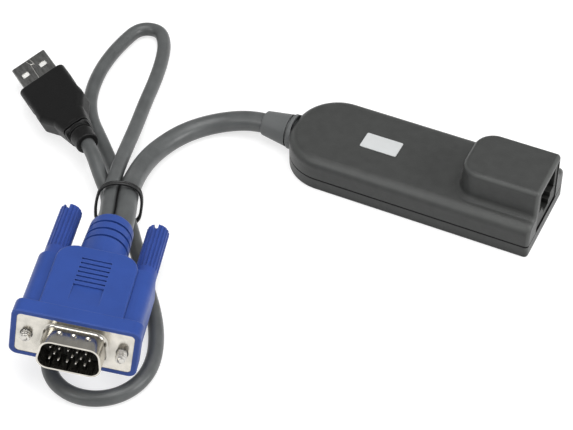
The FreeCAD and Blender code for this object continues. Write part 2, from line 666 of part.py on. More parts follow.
def make_usb_shell():
    """Folded steel shell: latch holes top and bottom, a folding seam with a dovetail on top."""
    shell = shell_tube(0, -USB_INSIDE, USB_REACH)
    shell = shell.cut(shell_tube(-USB_WALL, -USB_INSIDE - 1, USB_REACH + 1))
    half = LATCH_HOLE / 2
    for side in (-1, 1):
        y = side * LATCH_HOLE_Y
        shell = shell.cut(box(LATCH_HOLE_X - half, LATCH_HOLE_X + half, y - half, y + half, -5, 5))
    top = USB_HEIGHT / 2
    seam = box(0, USB_REACH - 1.2, -0.07, 0.07, top - 0.12, top + 1)
    tail = [Vec(USB_REACH - 2.4, -0.35, top - 0.12), Vec(USB_REACH - 2.4, 0.35, top - 0.12),
            Vec(USB_REACH - 1.2, 0.7, top - 0.12), Vec(USB_REACH - 1.2, -0.7, top - 0.12)]
    return shell.cut([seam, prism(tail, Vec(0, 0, 1))])


def make_usb_tongue():
    """White contact carrier against the seam side of the shell."""
    roof = USB_HEIGHT / 2 - USB_WALL - 0.02
    half = USB_WIDTH / 2 - USB_WALL - 0.3
    tongue = box(-USB_INSIDE, TONGUE_LENGTH, -half, half, roof - TONGUE_HEIGHT, roof)
    return tongue.makeChamfer(0.4, edges_where(
        tongue, lambda p: abs(p.x - TONGUE_LENGTH) < 1e-4 and abs(p.z - roof + TONGUE_HEIGHT) < 1e-4))


def make_usb_contacts():
    """Four gold strips on the open side of the tongue."""
    width, thick = USB_CONTACT
    face = USB_HEIGHT / 2 - USB_WALL - 0.02 - TONGUE_HEIGHT
    strips = []
    for y in USB_CONTACT_Y:
        strips.append(box(-USB_INSIDE, TONGUE_LENGTH - 1, y - width / 2, y + width / 2, face - thick, face))
    return Part.makeCompound(strips)


def make_usb_overmould():
    """Black grip: flat body, angled shoulders, necked end with ring grooves and a round lip."""
    half = MOULD_WIDTH / 2
    neck = NECK_WIDTH / 2
    back = -MOULD_LENGTH
    shoulder = back - SHOULDER_LENGTH
    end = shoulder - NECK_LENGTH
    outline = [
        Vec(0, -half, 0), Vec(back, -half, 0), Vec(shoulder, -neck, 0), Vec(end, -neck + 1.4, 0),
        Vec(end, neck - 1.4, 0), Vec(shoulder, neck, 0), Vec(back, half, 0), Vec(0, half, 0),
    ]
    body = prism(outline, Vec(0, 0, MOULD_HEIGHT))
    body.translate(Vec(0, 0, -MOULD_HEIGHT / 2))
    body = body.makeFillet(2.0, upright_edges(body, back))
    flat = [e for e in body.Edges if e.BoundBox.ZLength < 1e-4 and e.BoundBox.XMin < -1e-4]
    body = body.makeFillet(MOULD_EDGE_R, flat)
    tip = -USB_RELIEF_END
    body = body.fuse(taper(USB_TIP_R, USB_TIP_R + 0.5, tip + 1.6, end + 3))
    for x in (end - 0.9, end + 1.1):
        body = body.cut(rod(9, x, x + 0.7).cut(rod(USB_TIP_R - 0.2, x - 1, x + 2)))
    lip = rod(USB_TIP_R, tip, tip + 1.7)
    lip = lip.makeFillet(0.4, [e for e in lip.Edges if abs(e.BoundBox.XMax - tip) < 1e-4])
    body = body.fuse(lip)
    for side in (-1, 1):
        centre = Vec(SCOOP_X, side * (half + SCOOP_R - SCOOP_DEEP), -MOULD_HEIGHT / 2 - 1)
        body = body.cut(Part.makeCylinder(SCOOP_R, MOULD_HEIGHT + 2, centre))
    body = body.cut(shell_tube(0.0, -USB_INSIDE, 1))
    return body.cut(rod(THIN_DIA / 2, tip - 1, tip + CORD_SEAT)).removeSplitter()


# ================================================================ cables and tie
def placed(shape, at, turn):
    """Lay a plug drawn in its own frame in the part's frame."""
    return shape.transformed(FreeCAD.Placement(at, FreeCAD.Rotation(*turn)).toMatrix(), True)


def vga_point(x, y, z=0.0):
    return FreeCAD.Placement(VGA_AT, FreeCAD.Rotation(*VGA_TURN)).multVec(Vec(x, y, z))


def usb_point(x, y=0.0, z=0.0):
    return FreeCAD.Placement(USB_AT, FreeCAD.Rotation(*USB_TURN)).multVec(Vec(x, y, z))


def trunk_route():
    """From the strain relief, down to the table, round and up over the tie into the video plug's boot."""
    seat_x = -CASE_LENGTH / 2 - RELIEF_LENGTH + CORD_SEAT
    boot_x = -HOOD_LENGTH - BOOT_LENGTH
    return [
        Vec(seat_x, 0, RELIEF_Z), Vec(seat_x - 7.2, 0, RELIEF_Z),
        Vec(-63.6, -3.6, 3.3), Vec(-71.1, -12.2, 3.2), Vec(-74.7, -23.6, 3.6),
        Vec(-73.8, -34.6, 5.6), Vec(-69.9, -46.4, 8.8),
        vga_point(boot_x - 5.0, BOOT_TRUNK_Y), vga_point(boot_x + CORD_SEAT, BOOT_TRUNK_Y),
    ]


def thin_route():
    """From the boot round the far loop, back under the tie, round the near loop to the USB plug."""
    boot_x = -HOOD_LENGTH - BOOT_LENGTH
    y = boot_thin_y()
    tip = -USB_RELIEF_END
    return [
        vga_point(boot_x + CORD_SEAT, y), vga_point(boot_x - 5.0, y),
        Vec(-73.7, -50.5, 10.4), Vec(-77.7, -40.4, 8.3), Vec(-81.6, -28.4, 5.6), Vec(-85.2, -15.8, 3.6),
        Vec(-88.6, -4.4, 2.5), Vec(-91.0, 6.0, 2.25), Vec(-93.6, 15.0, 2.25), Vec(-97.0, 23.3, 2.25),
        Vec(-101.7, 28.5, 2.25), Vec(-108.2, 26.6, 2.25), Vec(-109.5, 18.4, 2.25), Vec(-109.7, 9.6, 2.25),
        Vec(-108.6, 0.6, 2.25), Vec(-105.5, -9.3, 2.25), Vec(-99.9, -17.3, 2.25), Vec(-91.6, -24.6, 2.25),
        Vec(-83.0, -33.3, 2.25), Vec(-74.8, -42.9, 3.0), Vec(-67.5, -51.7, 4.0), Vec(-59.2, -61.2, 2.5),
        Vec(-51.2, -70.7, 2.25), Vec(-44.3, -78.5, 2.25), Vec(-39.1, -86.3, 2.25), Vec(-35.9, -94.0, 2.25),
        Vec(-35.5, -101.2, 2.25), Vec(-38.5, -107.7, 2.25), Vec(-44.2, -111.8, 2.25),
        Vec(-51.2, -112.7, 2.25),
        Vec(-58.1, -109.9, 2.25), Vec(-63.0, -103.1, 2.25), Vec(-64.9, -92.0, 2.25), Vec(-67.9, -79.2, 2.25),
        Vec(-70.7, -68.2, 2.3), Vec(-72.2, -60.4, 3.1), Vec(-73.7, -53.3, 4.8), Vec(-77.2, -47.3, 5.2),
        Vec(-81.9, -42.8, 7.0),
        usb_point(tip - 2.5), usb_point(tip + CORD_SEAT),
    ]


def bend(before, corner, after):
    """Tangent arc that rounds a corner with the largest radius the two runs allow."""
    back = before - corner
    on = after - corner
    reach = 0.45 * min(back.Length, on.Length)
    back.normalize()
    on.normalize()
    half_turn = (math.pi - back.getAngle(on)) / 2
    radius = reach / math.tan(half_turn)
    inward = (back + on).normalize()
    middle = corner + inward * (radius / math.cos(half_turn) - radius)
    return Part.Arc(corner + back * reach, middle, corner + on * reach), radius


def sweep(path, radius):
    """Round section along a path of edges, starting at the first edge's start."""
    first = path[0]
    start = first.valueAt(first.FirstParameter)
    ring = Part.Circle(start, first.tangentAt(first.FirstParameter), radius).toShape()
    return Part.Wire(path).makePipeShell([Part.Wire(ring)], True, False)


def cord(points, diameter, name):
    """Round cable: straight runs joined by tangent arcs as large as the runs allow."""
    path = []
    radii = []
    start = points[0]
    for n in range(1, len(points) - 1):
        arc, radius = bend(points[n - 1], points[n], points[n + 1])
        path.append(Part.LineSegment(start, arc.StartPoint).toShape())
        path.append(arc.toShape())
        radii.append(round(radius, 1))
        start = arc.EndPoint
    path.append(Part.LineSegment(start, points[-1]).toShape())
    tube = sweep(path, diameter / 2)
    length = Part.Wire(path).Length
    section = math.pi * diameter ** 2 / 4
    print(name, "length", round(length, 1), "volume ratio", round(tube.Volume / (section * length), 4))
    print("  radii", radii)
    return tube


def make_tie():
    """Two turns of thin wire round the bundle, touching at one side and open at the other."""
    points = [Vec(0, y, z) for y, z in TIE_SHAPE]
    count = len(points)
    arcs = [bend(points[n - 1], points[n], points[(n + 1) % count])[0] for n in range(count)]
    path = []
    for n, arc in enumerate(arcs):
        path.append(Part.LineSegment(arcs[n - 1].EndPoint, arc.StartPoint).toShape())
        path.append(arc.toShape())
    turn = sweep(path, TIE_WIRE_R)
    other = turn.copy()
    other.rotate(Vec(0, min(y for y, z in TIE_SHAPE), 0), Vec(0, 0, 1), TIE_SPREAD)
    other.translate(Vec(-TIE_STEP, 0, 0))
    return Part.makeCompound([turn, other])


PARTS = {
    "lower_case": make_lower_case(),
    "upper_case": make_upper_case(),
    "badge": make_badge(),
    "circuit_board": make_board(),
    "main_chip": on_board(CHIP, CHIP_X),
    "magnetics": on_board(MAGNETICS, MAGNETICS_X),
    "cable_header": on_board(HEADER, header_x()),
    "rj45_jack": make_jack(),
    "rj45_contacts": make_jack_contacts(),
    "strain_relief": make_strain_relief(),
    "trunk_cable": cord(trunk_route(), TRUNK_DIA, "trunk"),
    "thin_cable": cord(thin_route(), THIN_DIA, "thin"),
    "cable_tie": placed(make_tie(), TIE_AT, TIE_TURN),
}

LEFT, RIGHT = screw_sides()
VGA_PARTS = {
    "vga_hood": make_vga_hood(),
    "vga_front_shell": make_vga_front_shell(),
    "vga_back_shell": make_vga_back_shell(),
    "vga_insert": make_vga_insert(),
    "vga_pins": make_vga_pins(),
    "left_knob": make_knob(LEFT, LEFT_FLOAT, LEFT_SLOT_TURN),
    "left_jackscrew": make_jackscrew(LEFT, LEFT_FLOAT),
    "right_knob": make_knob(RIGHT, 0.0, RIGHT_SLOT_TURN),
    "right_jackscrew": make_jackscrew(RIGHT, 0.0),
}

USB_PARTS = {
    "usb_overmould": make_usb_overmould(),
    "usb_shell": make_usb_shell(),
    "usb_tongue": make_usb_tongue(),
    "usb_contacts": make_usb_contacts(),
}

for name, shape in VGA_PARTS.items():
    PARTS[name] = placed(shape, VGA_AT, VGA_TURN)
for name, shape in USB_PARTS.items():
    PARTS[name] = placed(shape, USB_AT, USB_TURN)

os.makedirs("parts", exist_ok=True)
for name, shape in PARTS.items():
    shape.exportStep("parts/" + name + ".step")
    print(name, "valid", shape.isValid(), "solids", len(shape.Solids), "volume", round(shape.Volume, 1))
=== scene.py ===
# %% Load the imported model
import json
import math

import bpy
import numpy as np
from mathutils import Euler, Matrix, Vector


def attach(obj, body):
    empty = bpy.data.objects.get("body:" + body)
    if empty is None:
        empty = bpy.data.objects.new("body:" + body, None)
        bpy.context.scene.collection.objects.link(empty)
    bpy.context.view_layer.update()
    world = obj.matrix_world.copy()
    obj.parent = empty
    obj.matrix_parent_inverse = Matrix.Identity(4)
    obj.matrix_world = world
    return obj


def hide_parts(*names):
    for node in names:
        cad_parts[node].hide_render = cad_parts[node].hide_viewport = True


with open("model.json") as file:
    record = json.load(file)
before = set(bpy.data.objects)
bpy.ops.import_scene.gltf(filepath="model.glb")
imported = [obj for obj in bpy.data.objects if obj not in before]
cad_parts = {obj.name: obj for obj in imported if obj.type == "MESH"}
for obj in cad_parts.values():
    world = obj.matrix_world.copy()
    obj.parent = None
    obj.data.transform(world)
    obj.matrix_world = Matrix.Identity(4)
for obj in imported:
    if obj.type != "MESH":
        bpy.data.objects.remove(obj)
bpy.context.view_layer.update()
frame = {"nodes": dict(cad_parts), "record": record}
NODES = frame["nodes"]


def in_mm(*points):
    """Points in metres as millimetres, rounded to a tenth for reading."""
    return [[round(1000 * v, 1) for v in point] for point in points]


# %% [markdown]
# # A KVM interface adapter, dressed for a studio picture
#
# This adapter joins the video and USB ports of a computer to a network cable. It is a flat grey case with a raised
# socket block, a thick trunk cable to a blue fifteen-way video plug, and a thin cable that leaves the same plug, makes
# two loops and ends in a black USB plug. A thin wire tie holds the bundle.
#
# The rigid parts come from the CAD model and keep their shape. What is added here is what CAD leaves out: the two
# cables as soft splines, the screw threads, a raised line along the USB shell's seam, and the finish of every surface,
# with some painted highlight and shade in it.
# Lengths are metres and +Z is up.
#
# Two helpers come first. Colours are written as hex sRGB, which is how a colour is usually noted down, but shaders
# work in linear light, so one function turns the one into the other. The other adds a shader node and its links.

# %% Colours and nodes
def linear(colour):
    """Hex sRGB to linear RGBA: c / 12.92 up to 0.04045, above it ((c + 0.055) / 1.055) to the power 2.4."""
    srgb = np.array([int(colour[i:i + 2], 16) for i in (0, 2, 4)]) / 255
    value = np.where(srgb <= 0.04045, srgb / 12.92, ((srgb + 0.055) / 1.055) ** 2.4)
    return (*value.tolist(), 1.0)


def add(tree, kind, inputs=None, **settings):
    """Adds one shader node: settings are its own properties, inputs are numbers or links for its sockets."""
    node = tree.nodes.new("ShaderNode" + kind)
    for name, value in settings.items():
        setattr(node, name, value)
    for name, value in (inputs or {}).items():
        if isinstance(value, bpy.types.NodeSocket):
            tree.links.new(value, node.inputs[name])
        else:
            node.inputs[name].default_value = value
    return node


print("middle grey 808080 in linear light:", round(linear("808080")[0], 3))

# %% [markdown]
# ## Where the plugs lie
#
# Each plug was drawn in a frame of its own, with +X out of its mouth, and then laid in place. The same placement is
# needed here for the ends of the cables, for the screw threads, and for patterns that follow a plug's own direction,
# such as the lines that rolling leaves on sheet steel. To turn from the plug's frame to the part's: turn about X by
# the roll, about Y by the pitch, about Z by the yaw, and then move.

# %% Plug frames
MM = 0.001
VIDEO_AT, VIDEO_TURN = (-50.0, -108.0, 17.9), (-71.2, -7.6, -9.1)    # place in mm; yaw, pitch, roll in degrees
USB_AT, USB_TURN = (-117.6, -14.8, 7.17), (144.2, 3.7, -19.0)


def turns(turn):
    """Yaw, pitch and roll in degrees as the X, Y, Z angles in radians that Blender's XYZ order uses."""
    yaw, pitch, roll = (math.radians(a) for a in turn)
    return roll, pitch, yaw


def plug_frame(at_mm, turn):
    """Placement = translation * Rz(yaw) * Ry(pitch) * Rx(roll), with the shift in metres."""
    return Matrix.Translation(Vector(at_mm) * MM) @ Euler(turns(turn), "XYZ").to_matrix().to_4x4()


def on_plug(place, x, y=0.0, z=0.0):
    """Point of a plug's own frame, given in millimetres, in the part's frame in metres."""
    return (place @ Vector((x * MM, y * MM, z * MM)))[:]


VIDEO = plug_frame(VIDEO_AT, VIDEO_TURN)
USB = plug_frame(USB_AT, USB_TURN)
print("plug mouths in mm:", in_mm(on_plug(VIDEO, 0), on_plug(USB, 0)))

# %% [markdown]
# ## Moulded and plated finishes
#
# Nearly everything here is either a moulded plastic or a plated metal. Both look alive for the same reasons: the
# colour drifts a little from place to place, and the gloss is broken up by fine grain. Besides, edges get a tint,
# which on most pieces is a paler painted highlight with a little wear in it, and narrow gaps get painted shade. A flat
# colour has none of these. One function therefore builds all the finishes from a real colour and from grain sizes in
# millimetres, and each call below says what the material is.
#
# The grain could be an image laid over each piece, but noise in object coordinates needs no unwrapping, has a real
# size and doesn't stretch round a corner. Where the grain has a direction, as in rolled or drawn sheet, the
# coordinates are first turned into the plug's own frame and stretched along it.

# %% Materials and their coordinates
def new_material(name):
    """A material whose node tree is empty, and that tree."""
    material = bpy.data.materials.new(name)
    material.use_nodes = True
    material.node_tree.nodes.clear()
    return material, material.node_tree


def own_axes(tree, place, stretch):
    """Object coordinates turned back into a plug's own frame, then divided by stretch along each of its axes."""
    coordinates = add(tree, "TexCoord").outputs["Object"]
    if place is None:
        return coordinates
    at, turn = place
    shift = tuple(v * MM for v in at)
    return add(tree, "Mapping", {"Vector": coordinates, "Location": shift, "Rotation": turns(turn),
                                 "Scale": stretch}, vector_type="TEXTURE").outputs[0]


print("the video plug's own axes are turned by", [round(math.degrees(a), 1) for a in turns(VIDEO_TURN)], "degrees")

# %% [markdown]
# ## Painted highlight on edges and painted shade in gaps
#
# Both are painted light: the tint on edges is, on most pieces, a paler painted highlight with a little wear in it,
# and the darker colour in gaps is painted shade. Both could be painted by hand on each piece. Here they are found from
# the shape, so they stay right when a size changes. An edge is found by comparing the true normal with the one that a
# small bevel would give: they differ only near a corner. A gap is found by ambient occlusion over a short distance,
# which is the share of open sky that a point sees, and is called openness below.
#
# Some sockets go by number. Map Range takes its value at 0, the range it comes from at 1 and 2, and the range it goes
# to at 3 and 4, which is 0 to 1 unless given. Mix takes its factor at 0 and its two colours at 6 and 7.

# %% Edges and gaps
EDGE_AGREE = (0.995, 0.86)     # dot product of the two normals: the edge tint starts at the first and is full at the second
GAP_FULL = 0.25                # openness at which a gap's painted shade is full
GAP_TONE = 0.6                 # share of the base colour that a gap keeps before its painted shade darkens it further


def tinted_edges(tree, paint, tint_colour, width_mm, share):
    """Colour mixed by up to share towards the tint as the dot product of true and bevelled normal falls: mostly a
    painted highlight.
    """
    soft = add(tree, "Bevel", {"Radius": width_mm * MM}, samples=6).outputs["Normal"]
    true = add(tree, "NewGeometry").outputs["Normal"]
    agree = add(tree, "VectorMath", {0: soft, 1: true}, operation="DOT_PRODUCT").outputs["Value"]
    edge_tint = add(tree, "MapRange", {0: agree, 1: EDGE_AGREE[0], 2: EDGE_AGREE[1], 4: share}).outputs[0]
    return add(tree, "Mix", {0: edge_tint, 6: paint, 7: linear(tint_colour)}, data_type="RGBA").outputs[2]


def painted_gap_shade(tree, paint, base, width_mm, darker, open_from):
    """Painted shade: colour mixed towards base * (1 - darker) * GAP_TONE as openness falls from open_from to GAP_FULL.
    """
    sky = add(tree, "AmbientOcclusion", {"Distance": width_mm * MM}, samples=6).outputs["AO"]
    clear = add(tree, "MapRange", {0: sky, 1: GAP_FULL, 2: open_from}).outputs[0]
    shade = (*(base * (1 - darker) * GAP_TONE), 1.0)
    return add(tree, "Mix", {0: clear, 6: shade, 7: paint}, data_type="RGBA").outputs[2]


# the edge tint, mostly a painted highlight, starts at this angle off the true normal
print("edges wear from", round(math.degrees(math.acos(EDGE_AGREE[0])), 1), "degrees off the true normal")

# %% Finish builder
DRIFT_NOISE = (0.35, 0.65)     # coarse noise over which the colour goes from its darkest to its lightest
GLOSS_NOISE = (0.3, 0.7)       # fine noise over which the roughness goes from its lowest to its highest


def finish(name, colour, rough, metal=0.0, shine=0.5, grain_mm=0.6, grain_depth=0.02, mottle_mm=9.0, mottle=0.06,
           spread=0.10, edge_colour=None, edge_mm=0.5, edge_share=0.5, gap_mm=0.7, gap_shade=0.55, gap_open=0.8,
           place=None, stretch=(1.0, 1.0, 1.0), extra=None):
    """A Principled surface whose colour, roughness and normal come from noise of real size.

    Colour goes from base * (1 - mottle) to base * (1 + mottle) with the coarse noise, and then gets its tinted edges,
    mostly a painted highlight, and the painted shade in its gaps. Roughness goes from rough - spread / 2 to rough +
    spread / 2 with the fine noise. Bump height = fine noise * grain_depth in millimetres. shine is the specular level
    of a plastic, where 0.5 is a polished one.
    place and stretch give the grain a direction, as own_axes says. extra, where given, is a function of the tree and
    the colour that adds what only this piece has.
    """
    material, tree = new_material(name)
    coordinates = own_axes(tree, place, stretch)
    fine = add(tree, "TexNoise", {"Vector": coordinates, "Scale": 1 / (grain_mm * MM), "Detail": 3.0,
                                  "Roughness": 0.6}).outputs["Fac"]
    coarse = add(tree, "TexNoise", {"Vector": coordinates, "Scale": 1 / (mottle_mm * MM), "Detail": 4.0,
                                    "Roughness": 0.55}).outputs["Fac"]
    base = np.array(linear(colour)[:3])
    dark = (*(base * (1 - mottle)), 1.0)
    light = (*np.minimum(1.0, base * (1 + mottle)), 1.0)
    drift = add(tree, "MapRange", {0: coarse, 1: DRIFT_NOISE[0], 2: DRIFT_NOISE[1]}).outputs[0]
    paint = add(tree, "Mix", {0: drift, 6: dark, 7: light}, data_type="RGBA").outputs[2]
    # edges: a tint that is mostly a painted highlight
    if edge_colour is not None:
        paint = tinted_edges(tree, paint, edge_colour, edge_mm, edge_share)
    # gaps: painted shade
    paint = painted_gap_shade(tree, paint, base, gap_mm, gap_shade, gap_open)
    if extra is not None:
        paint = extra(tree, paint)
    gloss = add(tree, "MapRange", {0: fine, 1: GLOSS_NOISE[0], 2: GLOSS_NOISE[1], 3: rough - spread / 2,
                                   4: rough + spread / 2}).outputs[0]
    bump = add(tree, "Bump", {"Height": fine, "Distance": grain_depth * MM, "Strength": 1.0}).outputs["Normal"]
    shader = add(tree, "BsdfPrincipled", {"Base Color": paint, "Roughness": gloss, "Normal": bump,
                                          "Metallic": metal, "Specular IOR Level": shine})
    add(tree, "OutputMaterial", {"Surface": shader.outputs["BSDF"]})
    return material


print("colour drifts over coarse noise of", *DRIFT_NOISE, "and gloss over fine noise of", *GLOSS_NOISE)

# %% [markdown]
# ## Painted highlight and shade on the case
#
# Three marks on the case are found from its shape, not from its plastic, and all three are painted light. Edges that
# are rounded over get a paler, painted highlight; a bevel test misses them, because they are already round, but their
# normal gives them away. A round edge between the deck and a wall leans between the two, and that between two walls at
# the socket end lies between the directions of those walls. Hollow corners lean the same way, so they are told apart by
# how much sky they see, and get painted shade. Last, the line where the two shells meet gets a band of painted shade,
# darker and wider than the groove's own shadow.

# %% Case edges, hollows and parting line
PARTING_Z, PARTING_HALF, PARTING_FADE = 4.2, 0.26, 0.12    # painted shade along the parting line: height, half width and rim
SOCKET_END_X, END_FADE = 37.4, 0.3         # the rounded outline of the socket end starts here, over this width, in mm
DECK_ROUND = (0.30, 0.60, 0.80, 0.95)      # upright part of the normal: the painted highlight starts, is full, is still full, is gone
END_ROUND = (0.15, 0.45, 0.86, 0.975)      # the same for its part along the case, from a side wall to the end face
OPENNESS_MM = 4.0                          # openness is looked at over this distance
HIGHLIGHT_OPEN, HIGHLIGHT_SHARE = (0.86, 0.97), 0.25         # openness at which the painted highlight starts and is full, and its share there
HOLLOW_OPEN, HOLLOW_SHARE = (0.45, 0.92), 0.85     # openness at which the painted shade is full and ends, and its share
LEVEL = (0.99, 0.80)                       # the painted shade starts where the upright part falls below the first, full at the next
PAINTED_HIGHLIGHT, PAINTED_HOLLOW_SHADE, PAINTED_PARTING_SHADE = "6a6c6a", "0c0c0c", "0a0a0a"  # colours of the painted highlight, the painted shade in hollows and the painted shade on the parting line


def between(tree, value, foot, low, high, head):
    """1 where low < value < high, falling to 0 at foot and at head: the product of two straight slopes."""
    rise = add(tree, "MapRange", {0: value, 1: foot, 2: low}).outputs[0]
    fall = add(tree, "MapRange", {0: value, 1: head, 2: high}).outputs[0]
    return add(tree, "Math", {0: rise, 1: fall}, operation="MULTIPLY").outputs[0]


def case_painted_light(tree, paint):
    """Painted highlight where rounded over, painted shade in hollows and along the parting line.

    Highlight = openness * the larger of between(|nz|) over DECK_ROUND and, past SOCKET_END_X, between(|nx|) over
    END_ROUND. Shade = closeness * how far the surface is from level. The parting line's painted shade is where
    |z - PARTING_Z| is small.
    """
    coordinates = add(tree, "TexCoord").outputs
    lean = add(tree, "SeparateXYZ", {0: coordinates["Normal"]}).outputs
    place = add(tree, "SeparateXYZ", {0: coordinates["Object"]}).outputs
    upright = add(tree, "Math", {0: lean[2]}, operation="ABSOLUTE").outputs[0]
    endward = add(tree, "Math", {0: lean[0]}, operation="ABSOLUTE").outputs[0]
    sky = add(tree, "AmbientOcclusion", {"Distance": OPENNESS_MM * MM}, samples=8).outputs["AO"]
    past = add(tree, "MapRange", {0: place[0], 1: (SOCKET_END_X - END_FADE) * MM, 2: SOCKET_END_X * MM}).outputs[0]
    corner = add(tree, "Math", {0: between(tree, endward, *END_ROUND), 1: past}, operation="MULTIPLY").outputs[0]
    rounded = add(tree, "Math", {0: between(tree, upright, *DECK_ROUND), 1: corner}, operation="MAXIMUM").outputs[0]
    edge_tint = add(tree, "MapRange", {0: sky, 1: HIGHLIGHT_OPEN[0], 2: HIGHLIGHT_OPEN[1], 4: HIGHLIGHT_SHARE}).outputs[0]
    edge_tint = add(tree, "Math", {0: rounded, 1: edge_tint}, operation="MULTIPLY").outputs[0]
    # painted highlight on rounded-over edges
    paint = add(tree, "Mix", {0: edge_tint, 6: paint, 7: linear(PAINTED_HIGHLIGHT)}, data_type="RGBA").outputs[2]
    shade = add(tree, "MapRange", {0: sky, 1: HOLLOW_OPEN[0], 2: HOLLOW_OPEN[1], 3: HOLLOW_SHARE, 4: 0.0}).outputs[0]
    tilted = add(tree, "MapRange", {0: upright, 1: LEVEL[0], 2: LEVEL[1]}).outputs[0]
    shade = add(tree, "Math", {0: shade, 1: tilted}, operation="MULTIPLY").outputs[0]
    # painted shade in hollow corners
    paint = add(tree, "Mix", {0: shade, 6: paint, 7: linear(PAINTED_HOLLOW_SHADE)}, data_type="RGBA").outputs[2]
    above = add(tree, "Math", {0: place[2], 1: PARTING_Z * MM}, operation="SUBTRACT").outputs[0]
    off_line = add(tree, "Math", {0: above}, operation="ABSOLUTE").outputs[0]
    clear_of_line = add(tree, "MapRange", {0: off_line, 1: PARTING_HALF * MM,
                                   2: (PARTING_HALF + PARTING_FADE) * MM}).outputs[0]
    # painted shade along the parting line
    return add(tree, "Mix", {0: clear_of_line, 6: linear(PAINTED_PARTING_SHADE), 7: paint}, data_type="RGBA").outputs[2]


print("parting line at", PARTING_Z, "mm, rounded socket end from", SOCKET_END_X, "mm")

# %% [markdown]
# ## The finishes, one by one
#
# The case is ABS with a spark-eroded texture, which is a fine, even, satin grain. The cables and the strain relief are
# soft PVC: smoother, with a broad sheen. The video plug's hood is PVC too, coloured right through, with a paler painted
# highlight along its corners. The face plate and its shroud are steel plated with bright nickel, a little warm. The USB
# shell is stainless steel with the fine lines of its rolling. The insert is glass-filled PBT, nearly black. The USB
# grip is black PVC with a coarser grain and a grey painted highlight along its edges, and the tie is a wire in smooth
# black PVC.
#
# The badge is satin anodised aluminium, pale and even, and a shade darker along its rim. The network socket is PBT, a
# flat dark grey, with gold-flashed spring contacts. The screws are zinc plated and the pins tinned: bright, with
# painted shade where they crowd. The USB tongue and the board's header are nylon, off-white and soft. The board is
# green laminate with parts in dull epoxy.
#
# Grain that is finer than about a quarter of a millimetre in reality is drawn a little coarser, so that it still
# shows at arm's length.

# %% Make the finishes
VIDEO_PLACE, USB_PLACE = (VIDEO_AT, VIDEO_TURN), (USB_AT, USB_TURN)
# edge_colour gives edges a tint, mostly a painted highlight; gap_mm, gap_shade and gap_open give gaps painted shade
FINISH = {
    "case_plastic": finish("spark_eroded_abs", "3c3d3c", 0.43, shine=0.34, grain_mm=0.55, grain_depth=0.05,
                           mottle_mm=3, mottle=0.07, gap_mm=0.9, gap_shade=0.9, extra=case_painted_light),
    "relief_plastic": finish("moulded_pvc_relief", "5f6161", 0.48, shine=0.4, grain_mm=0.7, mottle=0.04,
                             edge_colour="7a7c7c", edge_share=0.4, gap_shade=0.4),
    "cable_jacket": finish("pvc_jacket", "525454", 0.37, shine=0.46, grain_mm=0.9, grain_depth=0.03, mottle_mm=5,
                           mottle=0.12, gap_mm=2.0, gap_shade=0.5),
    "badge_plate": finish("satin_anodised_badge", "c6c8c8", 0.38, grain_mm=0.3, grain_depth=0.004, mottle=0.03,
                          edge_colour="a9abab", edge_mm=0.3),
    "board_laminate": finish("solder_masked_laminate", "1f5a34", 0.35, grain_mm=1.2, grain_depth=0.01, mottle=0.1),
    "component_black": finish("moulded_epoxy", "1c1c1d", 0.55, grain_mm=0.3, grain_depth=0.01),
    "header_white": finish("header_nylon", "e3dfd2", 0.45, grain_depth=0.01),
    "jack_plastic": finish("jack_pbt", "262726", 0.5, shine=0.3, grain_mm=0.5, grain_depth=0.012,
                           edge_colour="4a4b49", gap_mm=2.0, gap_shade=0.6),
    "contact_gold": finish("gold_flash", "d9b25c", 0.25, metal=1.0, grain_mm=0.3, grain_depth=0.002, mottle=0.04),
    "hood_blue": finish("blue_pvc_hood", "29468f", 0.44, shine=0.35, grain_mm=0.8, mottle_mm=12,
                        edge_colour="5f76bd", edge_mm=0.35, edge_share=0.35, gap_shade=0.45),
    "knob_blue": finish("blue_pvc_knob", "294592", 0.42, shine=0.42, mottle_mm=6, mottle=0.07,
                        edge_colour="5369b4", edge_mm=0.2, edge_share=0.35, gap_shade=0.7, gap_open=0.97),
    "nickel_shell": finish("bright_nickel_plate", "cdc9c0", 0.20, metal=1.0, grain_depth=0.0004, mottle_mm=3.0,
                           mottle=0.09, spread=0.12, gap_mm=3.0, gap_open=0.9, place=VIDEO_PLACE,
                           stretch=(2.5, 1.0, 1.0)),
    "insulator_black": finish("glass_filled_pbt", "2b2b2a", 0.5, shine=0.25, grain_mm=0.5, grain_depth=0.002),
    "screw_steel": finish("zinc_plated_steel", "cfccc6", 0.26, metal=1.0, grain_mm=0.25, grain_depth=0.002,
                          mottle_mm=1.5, mottle=0.08, gap_mm=0.9, gap_shade=0.8, gap_open=0.9),
    "pin_metal": finish("tinned_pin", "cfccc6", 0.30, metal=1.0, grain_mm=0.3, grain_depth=0.001, mottle=0.04,
                        gap_mm=3.0, gap_shade=0.9, gap_open=0.97),
    "usb_black": finish("black_pvc_grip", "0a0a0a", 0.47, shine=0.29, grain_mm=0.5, grain_depth=0.05, mottle_mm=4,
                        mottle=0.16, edge_colour="3a3a3a", edge_share=0.7),
    "usb_steel": finish("rolled_stainless", "8b8b89", 0.34, metal=1.0, grain_mm=0.25, grain_depth=0.004,
                        mottle_mm=1.1, mottle=0.26, spread=0.20, gap_mm=0.5, gap_shade=0.4, place=USB_PLACE,
                        stretch=(4.0, 1.0, 1.0)),
    # paler than the shell's steel: a painted highlight along the seam
    "seam_steel": finish("seam_steel_painted_highlight", "dcdad4", 0.30, metal=1.0, grain_mm=0.3, grain_depth=0.001,
                         mottle_mm=1.0, mottle=0.08, gap_mm=0.1),
    "tongue_white": finish("tongue_nylon", "f1f0ec", 0.4, grain_mm=0.5, grain_depth=0.008),
    "tie_black": finish("pvc_tie", "121212", 0.38, grain_mm=0.4, grain_depth=0.01),
}
print("finishes:", sorted(FINISH))

